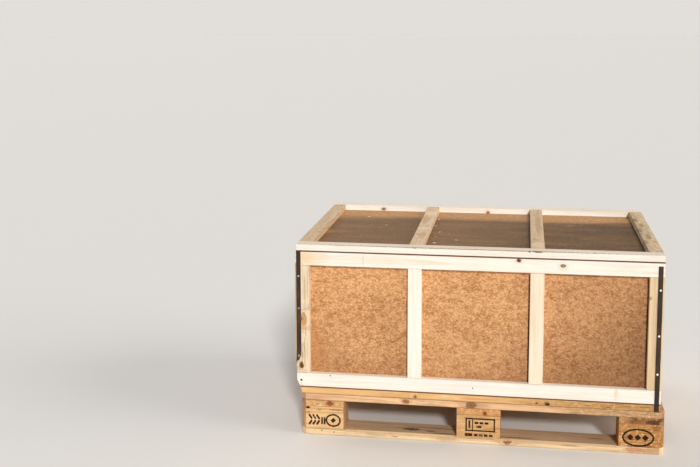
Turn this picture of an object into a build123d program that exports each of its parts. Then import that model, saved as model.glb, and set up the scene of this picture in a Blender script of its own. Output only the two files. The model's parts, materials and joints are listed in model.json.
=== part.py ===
from build123d import *
import os

os.makedirs("parts", exist_ok=True)

# Sizes are in millimetres. X runs along the long side, Y from front to back, Z up.
# The origin is on the floor, under the centre of the pallet.

# Pallet
pallet_l = 1200.0
pallet_w = 800.0
board_t = 22.0        # skids, cross boards and deck boards
block_h = 78.0
block_l = 145.0       # along X, also the width of the cross boards
wide_board = 145.0
narrow_board = 100.0
corner_cut = 15.0     # flat on each upright corner of the pallet
entry_bevel = 6.0     # eased skid edges in the fork openings

# Crate
crate_l = 1200.0
crate_w = 800.0
crate_h = 518.0
crate_shift_x = -15.0  # the crate sits a little to the left on its pallet
batten_w = 46.0        # frame timber of the crate
batten_t = 22.0
panel_t = 4.0          # hardboard sheets
mid_post_x = 200.0     # mid posts, either side of the crate's centre
end_sill_h = 58.0      # taller bottom rail of the two end walls
proud_post_t = 31.5    # the left end wall's front post stands proud of its rails
butt_gap = 0.4         # where a batten's end meets a rail
floor_inset = 1.5      # floor frame behind the face of the walls

# Steel strips on the ends of the long walls
strip_w = 15.0
strip_t = 1.2
left_margin = 1.0      # wood left bare outside the left strips
right_margin = 5.5     # wood left bare outside the right strips
strip_foot_z = 0.5     # above the deck
strip_head_gap = 10.0  # below the lid
torn_foot_z = 112.0    # torn strip's end above the deck
torn_bend_z = 66.0     # length of the bent part
torn_reach = 9.0       # how far the torn end stands off
strip_bow = 2.2        # how far a whole strip bows off the wall between its nails
nail_flat = 9.0        # length that lies flat on either side of a nail
front_nails = (270.0, 397.0, 548.0)         # levels on the front right strip
back_nails = (176.0, 301.0, 431.0, 560.0)   # levels on the back strips

# Eased edges
timber_ease = 1.0
sheet_ease = 0.4

# Wear at the crate's front left foot
worn_length = 90.0     # along the slant
worn_slant = 0.2       # how fast the wear runs out, in X for each step in Y

# Levels that follow from the sizes above
skid_top = board_t
block_top = skid_top + block_h
cross_top = block_top + board_t
deck_top = cross_top + board_t
floor_frame_top = deck_top + batten_t
wall_foot = floor_frame_top + panel_t
crate_top = deck_top + crate_h
lid_frame_foot = crate_top - batten_t
wall_top = lid_frame_foot - panel_t

# Faces that follow from the sizes above
half_l = crate_l / 2
half_w = crate_w / 2
left_end = crate_shift_x - half_l
right_end = crate_shift_x + half_l
side_in = half_w - batten_t - panel_t
end_in = half_l - batten_t - panel_t


def block(x0, x1, y0, y1, z0, z1):
    """Return a sharp block between six faces."""
    body = Box(x1 - x0, y1 - y0, z1 - z0)
    return Pos((x0 + x1) / 2, (y0 + y1) / 2, (z0 + z1) / 2) * body


def timber(x0, x1, y0, y1, z0, z1, ease=timber_ease):
    """Return a block with all its edges eased."""
    body = block(x0, x1, y0, y1, z0, z1)
    return chamfer(body.edges(), ease)


def sheet(x0, x1, y0, y1, z0, z1):
    """Return a hardboard sheet with lightly eased edges."""
    return timber(x0, x1, y0, y1, z0, z1, sheet_ease)


def save(part, name):
    """Write one node."""
    export_step(part, "parts/" + name + ".step")


def mirrored_span(side, near, far):
    """Return two positions in rising order on the given side of zero."""
    return sorted((side * near, side * far))


def pallet_footprint():
    """Return the pallet's outline with cut corners, as a tall prism."""
    outline = Rectangle(pallet_l, pallet_w)
    outline = chamfer(outline.vertices(), corner_cut)
    prism = extrude(outline, amount=deck_top + 2)
    return Pos(0, 0, -1) * prism


def block_columns():
    """Return the three spans along X that hold blocks and cross boards."""
    outer = pallet_l / 2
    return [
        (-outer, -outer + block_l),
        (-block_l / 2, block_l / 2),
        (outer - block_l, outer),
    ]


def block_rows():
    """Return the three spans along Y that hold skids and blocks."""
    outer = pallet_w / 2
    return [
        (-outer, -outer + narrow_board),
        (-wide_board / 2, wide_board / 2),
        (outer - narrow_board, outer),
    ]


def deck_rows():
    """Return the five deck boards' spans along Y, with even gaps."""
    widths = [wide_board, narrow_board, wide_board, narrow_board, wide_board]
    gap = (pallet_w - sum(widths)) / (len(widths) - 1)
    rows = []
    y = -pallet_w / 2
    for width in widths:
        rows.append((y, y + width))
        y += width + gap
    return rows


def skid(y0, y1):
    """Return a skid board, with its upper edges bevelled in the fork openings."""
    body = timber(-pallet_l / 2, pallet_l / 2, y0, y1, 0, skid_top)
    columns = block_columns()
    for left, right in zip(columns, columns[1:]):
        x0 = left[1] + entry_bevel
        x1 = right[0] - entry_bevel
        for y, inward in ((y0, 1), (y1, -1)):
            corner = [
                (y - inward, skid_top + 1),
                (y + inward * entry_bevel, skid_top + 1),
                (y + inward * entry_bevel, skid_top),
                (y, skid_top - entry_bevel),
                (y - inward, skid_top - entry_bevel),
            ]
            wedge = make_face(Polyline(*corner, close=True))
            cutter = extrude(Plane.YZ * wedge, amount=x1 - x0, dir=(1, 0, 0))
            body -= Pos(x0, 0, 0) * cutter
    return body & pallet_footprint()


def block_row(y0, y1):
    """Return the three blocks on one skid."""
    blocks = []
    for x0, x1 in block_columns():
        piece = timber(x0, x1, y0, y1, skid_top, block_top)
        blocks.append(piece & pallet_footprint())
    return Compound(children=blocks)


def cross_board(x0, x1):
    """Return one board across the blocks."""
    body = timber(x0, x1, -pallet_w / 2, pallet_w / 2, block_top, cross_top)
    return body & pallet_footprint()


def deck_board(y0, y1):
    """Return one top board of the pallet."""
    body = timber(-pallet_l / 2, pallet_l / 2, y0, y1, cross_top, deck_top)
    return body & pallet_footprint()


def worn_corner():
    """Return the slanted wedge that is worn off the crate's front left foot."""
    outline = [
        (left_end - 5, deck_top - 1),
        (left_end + 17, deck_top - 1),
        (left_end + 16, floor_frame_top - 9),
        (left_end + 11, wall_foot),
        (left_end + 5, wall_foot + 13),
        (left_end - 1, wall_foot + 25),
        (left_end - 5, wall_foot + 25),
    ]
    wedge = Plane.XZ * make_face(Polyline(*outline, close=True))
    slant = (-worn_slant, 1, 0)
    return Pos(worn_slant, -half_w - 1, 0) * extrude(wedge, amount=worn_length, dir=slant)


def post_spans(end_offset):
    """Return the X spans of the two end battens and the two mid battens."""
    c = crate_shift_x
    half = batten_w / 2
    return [
        (c - end_offset, c - end_offset + batten_w),
        (c - mid_post_x - half, c - mid_post_x + half),
        (c + mid_post_x - half, c + mid_post_x + half),
        (c + end_offset - batten_w, c + end_offset),
    ]


def flat_frame(z0, z1, inset):
    """Return two long battens and four cross battens of a lid or a floor."""
    y_out = half_w - inset
    y_in = half_w - batten_w
    rails = []
    for side in (-1, 1):
        y0, y1 = mirrored_span(side, y_in, y_out)
        rails.append(timber(left_end, right_end, y0, y1, z0, z1))
    crosses = []
    y_cross = y_in - butt_gap
    for x0, x1 in post_spans(half_l):
        crosses.append(timber(x0, x1, -y_cross, y_cross, z0, z1))
    return rails, crosses


def long_wall(side):
    """Return the rails, the posts and the sheet of a long wall."""
    y0, y1 = mirrored_span(side, half_w - batten_t, half_w)
    sill_top = wall_foot + batten_w
    head_foot = wall_top - batten_w
    sill = timber(left_end, right_end, y0, y1, wall_foot, sill_top)
    head = timber(left_end, right_end, y0, y1, head_foot, wall_top)
    z0 = sill_top + butt_gap
    z1 = head_foot - butt_gap
    posts = [timber(a, b, y0, y1, z0, z1) for a, b in post_spans(half_l)]
    s0, s1 = mirrored_span(side, side_in, half_w - batten_t)
    panel = sheet(left_end, right_end, s0, s1, wall_foot, wall_top)
    return sill, head, posts, panel


def end_wall(side):
    """Return the rails, the posts and the sheet of an end wall."""
    a, b = mirrored_span(side, half_l - batten_t, half_l)
    x0 = crate_shift_x + a
    x1 = crate_shift_x + b
    sill_top = wall_foot + end_sill_h
    head_foot = wall_top - batten_w
    sill = timber(x0, x1, -side_in, side_in, wall_foot, sill_top)
    head = timber(x0, x1, -side_in, side_in, head_foot, wall_top)
    z0 = sill_top + butt_gap
    z1 = head_foot - butt_gap
    posts = []
    for hand in (-1, 1):
        y0, y1 = mirrored_span(hand, side_in - batten_w, side_in)
        proud = side < 0 and hand < 0
        outer = x1 - proud_post_t if proud else x0
        posts.append(timber(outer, x1, y0, y1, z0, z1))
    a, b = mirrored_span(side, end_in, half_l - batten_t)
    s0 = crate_shift_x + a
    s1 = crate_shift_x + b
    panel = sheet(s0, s1, -side_in, side_in, wall_foot, wall_top)
    return sill, head, posts, panel


def bowed_line(y, bow, levels, z0, z1):
    """Return the edges of a strip's face in profile: flat at its nails, bowed between them."""
    edges = []
    z = z0
    for low, high in zip(levels, levels[1:]):
        a = low + nail_flat
        b = high - nail_flat
        edges.append(Line((y, z), (y, a)))
        middle = (y + bow, (a + b) / 2)
        edges.append(Spline((y, a), middle, (y, b), tangents=[(0, 1), (0, 1)]))
        z = b
    edges.append(Line((y, z), (y, z1)))
    return edges


def bowed_strip(side, x0, levels):
    """Return a whole steel strip on a long wall, from the deck to below the lid."""
    z0 = deck_top + strip_foot_z
    z1 = wall_top - strip_head_gap
    bow = side * strip_bow
    inner = bowed_line(side * half_w, bow, levels, z0, z1)
    outer = bowed_line(side * (half_w + strip_t), bow, levels, z0, z1)
    foot = Line(inner[0] @ 0, outer[0] @ 0)
    head = Line(inner[-1] @ 1, outer[-1] @ 1)
    profile = make_face(inner + [head] + outer + [foot])
    return Pos(x0, 0, 0) * extrude(Plane.YZ * profile, amount=strip_w, dir=(1, 0, 0))


def torn_strip(x0):
    """Return the front left strip, torn off above the foot and bent outwards."""
    z_end = deck_top + torn_foot_z
    z_bend = z_end + torn_bend_z
    curves = []
    for y in (-half_w, -half_w - strip_t):
        straight = Line((y, wall_top), (y, z_bend))
        tail = Spline(
            (y, z_bend),
            (y - torn_reach * 0.25, z_bend - torn_bend_z * 0.45),
            (y - torn_reach * 0.85, z_bend - torn_bend_z * 0.85),
            (y - torn_reach, z_end),
            tangents=[(0, -1), (-0.15, -1)],
        )
        curves.append((straight, tail))
    (in_line, in_tail), (out_line, out_tail) = curves
    head = Line(in_line @ 0, out_line @ 0)
    tip = Line(in_tail @ 1, out_tail @ 1)
    profile = make_face([in_line, in_tail, tip, out_tail, out_line, head])
    strip = Pos(x0, 0, 0) * extrude(Plane.YZ * profile, amount=strip_w, dir=(1, 0, 0))
    tear = [
        (x0 - 1, z_end - 2),
        (x0 + strip_w * 0.15, z_end + 3),
        (x0 + strip_w * 0.45, z_end + 8),
        (x0 + strip_w * 0.60, z_end + 6),
        (x0 + strip_w * 0.80, z_end + 17),
        (x0 + strip_w + 1, z_end + 21),
        (x0 + strip_w + 1, z_end - 2),
    ]
    cutter = Plane.XZ * make_face(Polyline(*tear, close=True))
    cutter = extrude(cutter, amount=4 * torn_reach, dir=(0, 1, 0))
    return strip - Pos(0, -half_w - 3 * torn_reach, 0) * cutter


def build_pallet():
    """Write the pallet's nodes."""
    names = ("front", "mid", "back")
    for name, (y0, y1) in zip(names, block_rows()):
        save(skid(y0, y1), "pallet_skid_" + name)
        save(block_row(y0, y1), "pallet_blocks_" + name)
    for name, (x0, x1) in zip(("left", "mid", "right"), block_columns()):
        save(cross_board(x0, x1), "pallet_cross_" + name)
    for i, (y0, y1) in enumerate(deck_rows()):
        save(deck_board(y0, y1), "pallet_deck_" + str(i + 1))


def build_floor():
    """Write the crate's floor: a frame under a sheet, worn at one corner."""
    rails, crosses = flat_frame(deck_top, floor_frame_top, floor_inset)
    worn = worn_corner()
    save(rails[0] - worn, "floor_rail_front")
    save(rails[1], "floor_rail_back")
    crosses[0] -= worn
    for i, cross in enumerate(crosses):
        save(cross, "floor_cross_" + str(i + 1))
    y = half_w - floor_inset
    panel = sheet(left_end, right_end, -y, y, floor_frame_top, wall_foot)
    save(panel - worn, "floor_panel")


def build_lid():
    """Write the crate's lid: a sheet under a frame."""
    rails, crosses = flat_frame(lid_frame_foot, crate_top, 0)
    save(rails[0], "lid_rail_front")
    save(rails[1], "lid_rail_back")
    for i, cross in enumerate(crosses):
        save(cross, "lid_cross_" + str(i + 1))
    panel = sheet(left_end, right_end, -half_w, half_w, wall_top, lid_frame_foot)
    save(panel, "lid_panel")


def build_walls():
    """Write the four walls."""
    for side, name in ((-1, "front"), (1, "back")):
        sill, head, posts, panel = long_wall(side)
        if side < 0:
            sill -= worn_corner()
            panel -= worn_corner()
        save(sill, name + "_sill")
        save(head, name + "_head")
        for i, post in enumerate(posts):
            save(post, name + "_post_" + str(i + 1))
        save(panel, name + "_panel")
    for side, name in ((-1, "left"), (1, "right")):
        sill, head, posts, panel = end_wall(side)
        if side < 0:
            sill -= worn_corner()
        save(sill, name + "_sill")
        save(head, name + "_head")
        for post, end in zip(posts, ("front", "back")):
            save(post, name + "_post_" + end)
        save(panel, name + "_panel")


def build_strips():
    """Write the four steel strips."""
    left = left_end + left_margin
    right = right_end - right_margin - strip_w
    save(torn_strip(left), "strip_front_left")
    save(bowed_strip(-1, right, front_nails), "strip_front_right")
    save(bowed_strip(1, left, back_nails), "strip_back_left")
    save(bowed_strip(1, right, back_nails), "strip_back_right")


build_pallet()
build_floor()
build_lid()
build_walls()
build_strips()
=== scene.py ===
"""Dresses the crate and its pallet: timber, hardboard, steel, nails, splinters and the stage.

Lengths are in metres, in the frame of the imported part: X along the pallet's long side, Y from the
photographed side to the back, Z up, with the origin on the floor under the pallet's centre.
"""

import functools
import inspect
import json
import math
import random
from types import SimpleNamespace

import bpy
from mathutils import Euler, Matrix, Vector

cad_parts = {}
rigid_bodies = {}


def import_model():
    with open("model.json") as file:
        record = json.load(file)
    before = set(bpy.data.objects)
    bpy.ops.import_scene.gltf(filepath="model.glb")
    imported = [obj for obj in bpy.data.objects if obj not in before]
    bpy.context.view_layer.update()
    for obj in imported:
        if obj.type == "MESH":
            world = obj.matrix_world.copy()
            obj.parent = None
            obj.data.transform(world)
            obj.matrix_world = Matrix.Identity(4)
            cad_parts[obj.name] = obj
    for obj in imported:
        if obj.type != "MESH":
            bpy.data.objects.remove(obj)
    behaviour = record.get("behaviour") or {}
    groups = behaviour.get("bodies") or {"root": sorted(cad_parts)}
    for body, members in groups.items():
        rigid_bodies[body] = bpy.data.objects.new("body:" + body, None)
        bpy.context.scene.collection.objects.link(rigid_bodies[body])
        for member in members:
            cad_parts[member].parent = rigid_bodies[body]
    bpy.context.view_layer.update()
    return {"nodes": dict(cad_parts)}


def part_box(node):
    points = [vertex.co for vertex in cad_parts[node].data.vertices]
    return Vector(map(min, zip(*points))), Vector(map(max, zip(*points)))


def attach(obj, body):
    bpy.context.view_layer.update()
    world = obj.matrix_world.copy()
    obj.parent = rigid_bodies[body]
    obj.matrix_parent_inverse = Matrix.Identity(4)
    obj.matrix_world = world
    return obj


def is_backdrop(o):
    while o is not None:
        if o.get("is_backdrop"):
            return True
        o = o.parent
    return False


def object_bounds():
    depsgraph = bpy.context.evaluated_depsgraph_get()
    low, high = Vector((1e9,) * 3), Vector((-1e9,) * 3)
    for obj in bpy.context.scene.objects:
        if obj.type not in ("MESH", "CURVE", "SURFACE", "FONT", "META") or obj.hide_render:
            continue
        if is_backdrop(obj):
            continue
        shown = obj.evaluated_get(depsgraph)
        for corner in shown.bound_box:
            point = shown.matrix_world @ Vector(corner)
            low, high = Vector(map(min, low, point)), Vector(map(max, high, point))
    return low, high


bl_info = {
    "name": "Crate on a Flat Pallet",
    "version": (1, 0, 0),
    "blender": (4, 5, 0),
    "location": "View3D > Sidebar > Crate",
    "description": "Finishes, nails and stage for a framed hardboard crate on a flat pallet",
    "category": "Object",
}

for leftover in list(bpy.data.objects):
    bpy.data.objects.remove(leftover)

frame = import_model()
NODES = frame["nodes"]

FRONT_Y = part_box("front_head")[0].y
BACK_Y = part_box("back_head")[1].y
LEFT_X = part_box("lid_panel")[0].x
RIGHT_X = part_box("lid_panel")[1].x
SHEET_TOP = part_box("lid_panel")[1].z
LID_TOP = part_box("lid_rail_front")[1].z
LID_INNER_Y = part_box("lid_rail_back")[0].y
SKID_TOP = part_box("pallet_skid_front")[1].z
MM = 0.001
# How far the outer nails of a rail or a wall keep from the crate's end
END_MARGIN = 0.030
# How far the nails of the lid's long rails lie from the crate's front or back
RAIL_NAILS_IN = 0.011


def tone(red, green, blue):
    """Turn a colour as seen on a screen, 0 to 255, into Blender's linear values."""
    shares = (value / 255 for value in (red, green, blue))
    return tuple(v / 12.92 if v <= 0.04045 else ((v + 0.055) / 1.055) ** 2.4 for v in shares)


def darker(colour, factor):
    return tuple(value * factor for value in colour)


# Settings


def setting(kind, name, description, default, **extra):
    """A property that the panel shows and that can't go below zero, or below a minimum given."""
    return kind(name=name, description=description, default=default, **{"min": 0, **extra})


def colour_setting(name, description, rgb):
    kind = bpy.props.FloatVectorProperty
    return setting(kind, name, description, tone(*rgb), subtype="COLOR", size=3, max=1)


def length_setting(name, description, millimetres):
    kind = bpy.props.FloatProperty
    return setting(kind, name, description, millimetres * MM, subtype="DISTANCE", unit="LENGTH")


def number_setting(name, description, default, **extra):
    return setting(bpy.props.FloatProperty, name, description, default, **extra)


class CrateTimberSettings(bpy.types.PropertyGroup):
    """Colours and grain of the crate's battens."""

    rail: colour_setting("Rail", "Planed rails of the walls and the lid", (251, 244, 233))
    rail_grain: colour_setting("Rail grain", "Late wood in the rails", (226, 192, 146))
    post: colour_setting("Post", "Planed posts of the walls", (236, 212, 176))
    post_grain: colour_setting("Post grain", "Late wood in the posts", (190, 142, 92))
    lid_batten: colour_setting("Lid batten", "Dusty cross battens of the lid", (234, 204, 168))
    lid_batten_grain: colour_setting("Lid grain", "Late wood in the lid's battens", (172, 134, 92))
    floor_batten: colour_setting("Floor batten", "Golden battens of the floor", (233, 187, 128))
    floor_batten_grain: colour_setting("Floor grain", "Late wood in these battens", (192, 130, 66))
    ring: length_setting("Ring width", "Distance between growth rings", 3.2)


class PalletTimberSettings(bpy.types.PropertyGroup):
    """Colours and grain of the pallet's boards and blocks."""

    deck: colour_setting("Deck", "Sawn deck boards", (250, 206, 158))
    deck_grain: colour_setting("Deck grain", "Late wood in the deck boards", (196, 134, 88))
    cross: colour_setting("Cross board", "Sawn boards over the blocks", (236, 186, 128))
    cross_grain: colour_setting("Cross grain", "Late wood in the cross boards", (176, 112, 64))
    block: colour_setting("Block", "Sawn blocks", (249, 206, 150))
    block_grain: colour_setting("Block grain", "Late wood in the blocks", (204, 142, 84))
    skid: colour_setting("Skid", "Skid boards", (250, 220, 176))
    skid_grain: colour_setting("Skid grain", "Late wood in the skids", (184, 138, 94))
    scorch: colour_setting("Scorch", "Burnt marks on the blocks", (24, 14, 8))
    ring: length_setting("Ring width", "Distance between growth rings", 4.2)


class SheetSettings(bpy.types.PropertyGroup):
    """Colours of the hardboard."""

    board: colour_setting("Hardboard", "Main tone of the wall sheets", (238, 183, 129))
    board_dark: colour_setting("Hardboard flecks", "Dark flecks of the sheets", (166, 106, 56))
    board_edge: colour_setting("Hardboard edge", "Cut edges of the sheets", (104, 66, 42))
    lid_board: colour_setting("Lid sheet", "Brown of the lid's sheet", (220, 168, 116))
    lid_dust: colour_setting("Lid dust", "Dust that lies on the lid", (106, 79, 52))


class SteelSettings(bpy.types.PropertyGroup):
    """Strips and nails."""

    strip: colour_setting("Strip", "Rolled steel of the edge strips", (61, 54, 48))
    nail: colour_setting("Nail", "Bright nail heads", (240, 238, 234))
    rust: colour_setting("Rust", "Rust on strips and old nails", (112, 62, 34))
    head_radius: length_setting("Nail head", "Radius of a strip nail's head", 3.5)
    pin_radius: length_setting("Frame nail head", "Radius of a frame nail's head", 2.2)


class StageSettings(bpy.types.PropertyGroup):
    """Floor, lamps and camera."""

    floor: colour_setting("Floor", "Plain studio floor", (238, 236, 233))
    key_strength: number_setting("Key", "Strength of the main lamp", 2.1)
    side_strength: number_setting("Side", "Strength of the warm lamp on the right", 1.5)
    fill_strength: number_setting("Fill", "Strength of the lamp behind", 0.9)
    key_softness: number_setting(
        "Key softness", "Spread of the main lamp", math.radians(7), subtype="ANGLE", unit="ROTATION"
    )
    sky_strength: number_setting("Sky", "Strength of the even light all round", 0.26)
    lens: number_setting("Lens", "Focal length in millimetres", 55.55, min=10)


# Node tools


def label_of(key):
    """A socket's or a group's label from its name in the code."""
    return key.replace("_", " ").title()


def feed(socket, value):
    """Link a wire to an input, or set the input's plain value."""
    if isinstance(value, Wire):
        socket.id_data.links.new(value.socket, socket)
    elif socket.type == "RGBA" and len(value) == 3:
        socket.default_value = (*value, 1)
    else:
        socket.default_value = value


def node(tree, kind, *values, **named):
    """Add a node. Capital names feed its inputs, small ones are settings, values feed in order."""
    made = tree.nodes.new("ShaderNode" + kind)
    for key, value in named.items():
        if key[0].islower():
            setattr(made, key, value)
    for key, value in named.items():
        if key[0].isupper():
            feed(made.inputs[key.replace("_", " ")], value)
    for socket, value in zip(made.inputs, values):
        feed(socket, value)
    return made


def add(tree, kind, *values, out=0, **named):
    """Add a node and take one of its outputs."""
    return Wire(node(tree, kind, *values, **named).outputs[out])


class Wire:
    """A node's output. Arithmetic on a wire adds the node that works it out."""

    def __init__(self, socket):
        self.socket = socket
        self.tree = socket.id_data

    def calc(self, operation, *values, clamp=False):
        """A Math node's result."""
        return add(self.tree, "Math", self, *values, operation=operation, use_clamp=clamp)

    def vector_calc(self, operation, *values, **named):
        """A Vector Math node's result."""
        return add(self.tree, "VectorMath", self, *values, operation=operation, **named)

    def either(self, operation, other):
        """A Math node's result for a value, a Vector Math node's for a vector or a colour."""
        plain = self.socket.type == "VALUE"
        return self.calc(operation, other) if plain else self.vector_calc(operation, other)

    def __add__(self, other):
        return self.either("ADD", other)

    def __sub__(self, other):
        return self.either("SUBTRACT", other)

    def __mul__(self, other):
        return self.either("MULTIPLY", other)

    def __truediv__(self, other):
        return self.either("DIVIDE", other)

    def most(self, other):
        return self.calc("MAXIMUM", other)

    def scaled(self, factor):
        return self.vector_calc("SCALE", Scale=factor)

    def length(self):
        return self.vector_calc("LENGTH", out="Value")

    def dot(self, other):
        return self.vector_calc("DOT_PRODUCT", other, out="Value")

    def part(self, letter):
        """A vector's part by its letter."""
        return add(self.tree, "SeparateXYZ", self, out=letter)

    def spread(self, low, high, to_low=0.0, to_high=1.0):
        """A smooth Map Range node's result."""
        ends = (low, high, to_low, to_high)
        return add(self.tree, "MapRange", self, *ends, interpolation_type="SMOOTHSTEP")

    def noise(self, scale, detail=2.0, rough=0.5, distort=0.0, out="Fac"):
        """A Noise Texture's result at this place."""
        named = {"Scale": scale, "Detail": detail, "Roughness": rough, "Distortion": distort}
        return add(self.tree, "TexNoise", out=out, Vector=self, **named)

    def streaks(self, along, across, detail=1.0, rough=0.5):
        """Noise drawn out along X, the way of the grain."""
        return (self * (along, across, across)).noise(1.0, detail, rough)


def tree_of(*values):
    """The node tree of the first wire among some values."""
    return next(value.tree for value in values if isinstance(value, Wire))


def join_parts(x, y, z):
    """A vector from three parts."""
    return add(tree_of(x, y, z), "CombineXYZ", x, y, z)


def mix(factor, first, second, blend="MIX"):
    """A colour Mix node's result."""
    tree = tree_of(factor, first, second)
    made = node(tree, "Mix", data_type="RGBA", blend_type=blend, clamp_factor=True)
    sockets = {socket.identifier: socket for socket in (*made.inputs, *made.outputs)}
    for key, value in (("Factor_Float", factor), ("A_Color", first), ("B_Color", second)):
        feed(sockets[key], value)
    return Wire(sockets["Result_Color"])


def grey_ramp(wire, *stops):
    """A Color Ramp over a wire. Each stop is a position and a grey value."""
    made = node(wire.tree, "ValToRGB", wire)
    points = made.color_ramp.elements
    while len(points) < len(stops):
        points.new(0.5)
    for point, (place, value) in zip(points, stops):
        point.position = place
        point.color = (value, value, value, 1)
    return Wire(made.outputs["Color"])


SOCKET_KINDS = {1: "NodeSocketFloat", 3: "NodeSocketVector", 4: "NodeSocketColor"}


def shared_effect(*outputs):
    """Make a function of wires a node group, built at its first use and placed by each call.

    The function's arguments are the group's inputs, with their defaults, and it gives back a tuple
    of the outputs. A call returns the placed group's outputs by name.
    """

    def wrap(build):
        name = label_of(build.__name__)
        inputs = inspect.signature(build).parameters

        def new_group():
            tree = bpy.data.node_groups.new(name, "ShaderNodeTree")
            defaults = {key: parameter.default for key, parameter in inputs.items()}
            for key, default in defaults.items():
                kind = SOCKET_KINDS[len(default) if isinstance(default, tuple) else 1]
                socket = tree.interface.new_socket(label_of(key), in_out="INPUT", socket_type=kind)
                socket.default_value = default
            for key in outputs:
                kind = SOCKET_KINDS[4 if key == "color" else 1]
                tree.interface.new_socket(label_of(key), in_out="OUTPUT", socket_type=kind)
            given = tree.nodes.new("NodeGroupInput").outputs
            results = build(*[Wire(given[label_of(key)]) for key in inputs])
            leave = tree.nodes.new("NodeGroupOutput")
            for key, result in zip(outputs, results):
                feed(leave.inputs[label_of(key)], result)
            return tree

        def place(**values):
            group = bpy.data.node_groups.get(name) or new_group()
            made = node(tree_of(*values.values()), "Group", node_tree=group)
            for key, value in values.items():
                feed(made.inputs[label_of(key)], value)
            return SimpleNamespace(**{key: Wire(made.outputs[label_of(key)]) for key in outputs})

        return place

    return wrap


# Shared effects

ORIGIN = (0.0, 0.0, 0.0)
MIDDLE = (0.5, 0.5, 0.5)
PALE = (0.8, 0.7, 0.5, 1.0)
DARK = (0.3, 0.15, 0.06, 1.0)


@shared_effect("color", "ring", "height")
def softwood_grain(
    vector=ORIGIN,
    pith=ORIGIN,
    ring_width=0.003,
    taper=0.0,
    wander=0.004,
    push=0.0,
    contrast=0.6,
    figure=0.4,
    fibre=0.3,
    pale=PALE,
    late=DARK,
    heart=DARK,
):
    """Growth rings of a plank, cut from a trunk whose pith runs along local X."""
    bend = (vector * (1.4, 12.0, 12.0)).noise(1.0, 2.0, out="Color") - MIDDLE
    trunk = vector - pith + bend.scaled(wander * 2.0)
    radius = (trunk * (0.0, 1.0, 1.0)).length() + push
    radius = radius + vector.streaks(9.0, 55.0) * 0.0016 + vector.part("X") * taper
    count = radius / ring_width
    year = count.calc("FLOOR")
    strength = add(year.tree, "TexWhiteNoise", W=year, noise_dimensions="1D", out="Value")
    stops = ((0.0, 0.10), (0.40, 0.08), (0.78, 0.55), (0.92, 1.0), (1.0, 0.12))
    line = grey_ramp(count.calc("FRACT"), *stops).calc("MULTIPLY", strength.spread(0, 1, 0.4, 1.0))
    sheaf = {"W": radius * 150.0, "Scale": 1.0, "Detail": 1.0}
    bands = add(year.tree, "TexNoise", noise_dimensions="1D", **sheaf).spread(0.32, 0.68, -0.5, 0.5)
    hairs = vector.streaks(14.0, 620.0, 3.0, 0.6)
    streak = vector.streaks(2.6, 95.0, 3.0, 0.6).spread(0.3, 0.7, -0.5, 0.5)
    both = hairs.spread(0.3, 0.7, -0.5, 0.5) * 0.4 + streak
    canals = vector.streaks(55.0, 900.0).spread(0.70, 0.78) * 0.25
    mark = line * contrast + bands * figure + both * fibre
    colour = mix(mark.calc("ADD", canals, clamp=True), pale, late)
    warm = vector.streaks(1.7, 17.0, 2.0).spread(0.50, 0.74) * 0.42
    return mix(warm, colour, heart), line, line * 0.6 + hairs * 0.5


@shared_effect("push", "core", "dark", "halo")
def branch_knot(
    vector=ORIGIN,
    centre=ORIGIN,
    radius=0.008,
    length=1.6,
    darkness=0.6,
    push=0.0,
    core=0.0,
    dark=0.0,
    halo=0.0,
):
    """One knot. Each output holds the strongest value of this knot and those before it."""
    away = (vector - centre) / join_parts(length, 1.0, 1 / 0.85)
    wide = vector.noise(75.0)
    fine = vector.noise(260.0)
    reach = away.length() / radius + (wide - 0.5) * 1.3 + (fine - 0.5) * 0.6
    swell = (reach * reach * -0.28).calc("EXPONENT") * radius * 1.7
    round_core = reach.spread(0.70, 1.10, 1.0, 0.0)
    bark = (reach - 0.88).calc("ABSOLUTE").spread(0.06, 0.34, 1.0, 0.0) * wide.spread(0.34, 0.52)
    lines = fine.spread(0.36, 0.62) * 0.75 * round_core + reach.spread(0.05, 0.40, 0.8, 0.0)
    lines = lines.most(bark).calc("MULTIPLY", darkness, clamp=True)
    lines = lines.most(round_core * darkness.spread(0.75, 1.0, 0.0, 0.85))
    ring = reach.spread(0.9, 3.0, 1.0, 0.0)
    return swell + push, round_core.most(core), lines.most(dark), ring.most(halo)


@shared_effect("color")
def knot_paint(color=PALE, core=0.0, dark=0.0, halo=0.0, knot=DARK, bark=DARK):
    """Colours knots: a warm halo, the knot's own wood and its dark lines."""
    colour = mix(core * 0.78, mix(halo * 0.22, color, knot), knot)
    return (mix(dark, colour, bark),)


@shared_effect("edge", "up", "end")
def face_direction(normal=(0.0, 0.0, 1.0), along=(1.0, 0.0, 0.0), vector=ORIGIN):
    """Masks made from the way a face points: eased edges, upward faces and end grain."""
    size = normal.vector_calc("ABSOLUTE")
    most = size.part("X").most(size.part("Y").most(size.part("Z")))
    patchy = vector.noise(26.0, 3.0, 0.6).spread(0.30, 0.6, 0.35, 1.0)
    edge = most.spread(0.98, 0.80, 0.0, 1.0) * patchy
    return edge, normal.part("Z").spread(0.4, 0.9), size.dot(along).spread(0.75, 0.95)


@shared_effect("height")
def rough_sawing(vector=ORIGIN, pitch=0.0035, depth=0.5):
    """Saw marks across the grain and raised fuzz, for bump."""
    lean = vector.part("Y") * 0.10 + vector.part("X") + vector.streaks(8.0, 3.0, 2.0) * 0.012
    wave = (lean * math.tau / pitch).calc("SINE") * vector.noise(9.0).spread(0.42, 0.62)
    return (wave * (depth * 0.5) + vector.streaks(120.0, 700.0, 2.0, 0.7),)


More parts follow.
